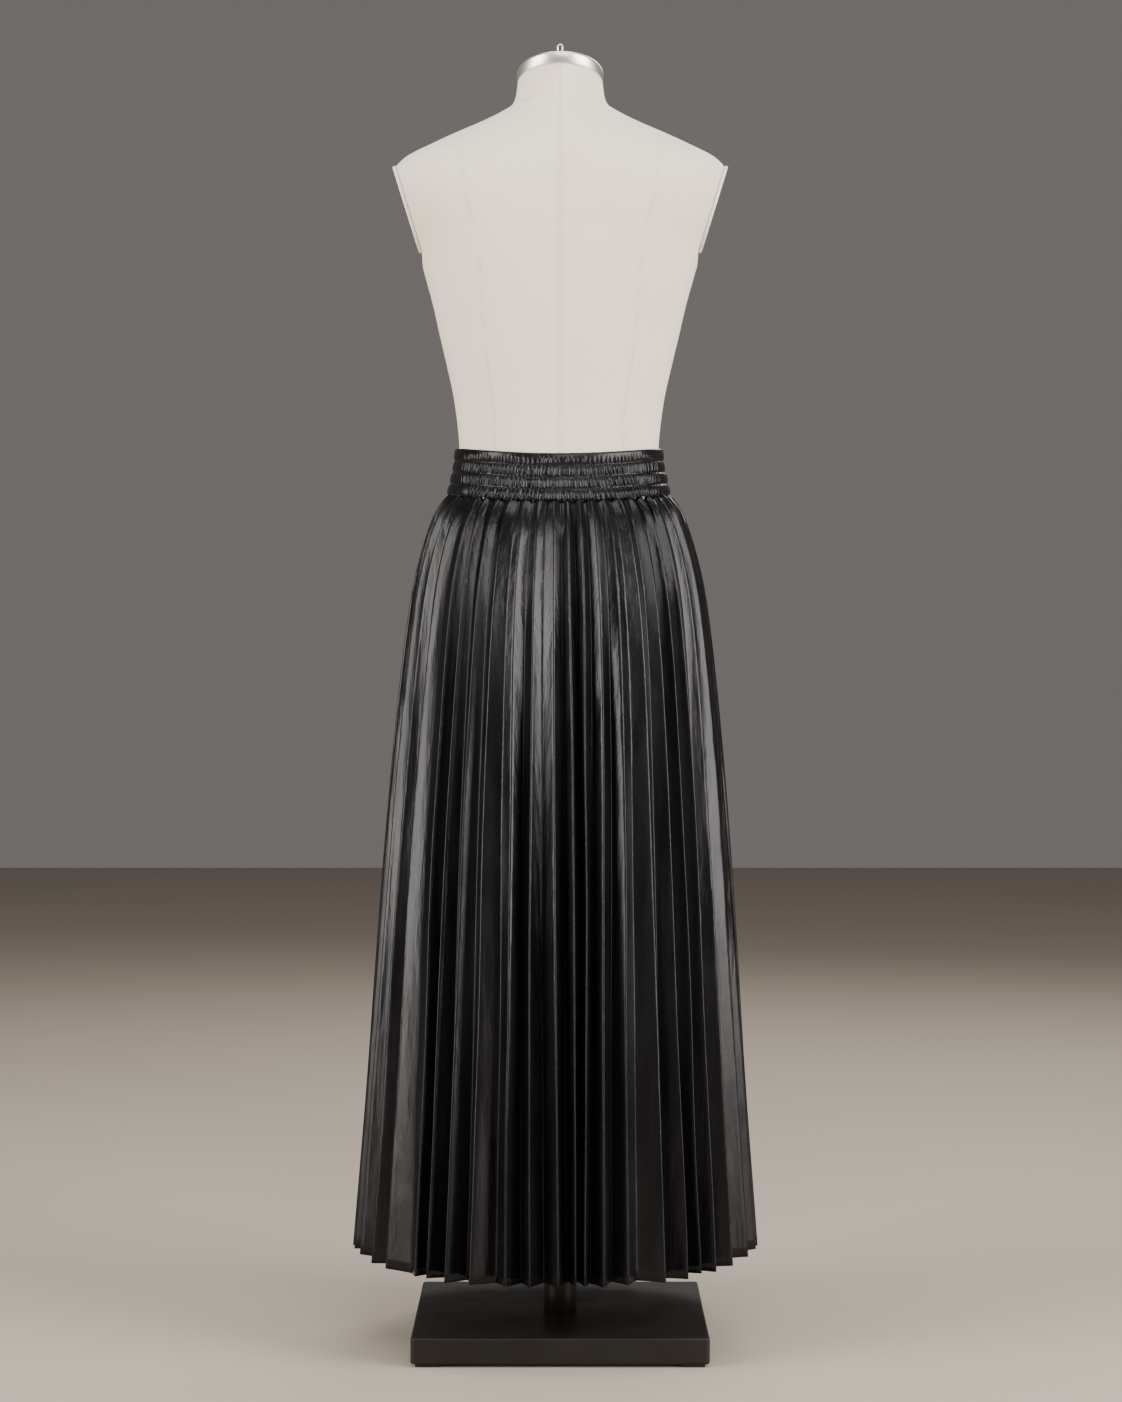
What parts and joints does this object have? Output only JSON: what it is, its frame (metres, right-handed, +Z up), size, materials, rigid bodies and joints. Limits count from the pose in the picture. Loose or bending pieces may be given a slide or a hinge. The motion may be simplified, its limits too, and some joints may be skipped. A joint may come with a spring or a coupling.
{
  "type": "pleated maxi skirt on a dress form",
  "caption": "Long sunray-pleated black skirt with a shirred elastic waistband, worn by a limbless linen dress form on a pole with a square base.",
  "frame": {"origin": "on the floor, under the pole, at the middle of the square base", "axes": "+Z up the pole; the garment's back faces -Y and its front +Y; +X to the right when the back is seen"},
  "size_m": [0.4802, 0.4724, 1.5257],
  "materials": {
    "coated_cloth": "black polyurethane-coated polyester, satin gloss, heat-set pleats",
    "shirred_band": "the same coated cloth, shirred over elastic",
    "form_linen": "fine cream linen, matt",
    "cap_metal": "satin polished",
    "arm_plate_paint": "cream, satin",
    "stand_paint": "black powder coat, fine satin",
    "foot_pad": "matt"
  },
  "bodies": {
    "root": {"skirt_back_panel": "coated_cloth", "skirt_front_panel": "coated_cloth", "waistband_back": "shirred_band", "waistband_front": "shirred_band", "form_torso": "form_linen", "neck_cap": "cap_metal", "cap_loop": "cap_metal", "arm_plate_left": "arm_plate_paint", "arm_plate_right": "arm_plate_paint", "stand_pole": "stand_paint", "base_plate": "stand_paint", "base_foot_1": "foot_pad", "base_foot_2": "foot_pad", "base_foot_3": "foot_pad", "base_foot_4": "foot_pad"}
  },
  "joints": []
}
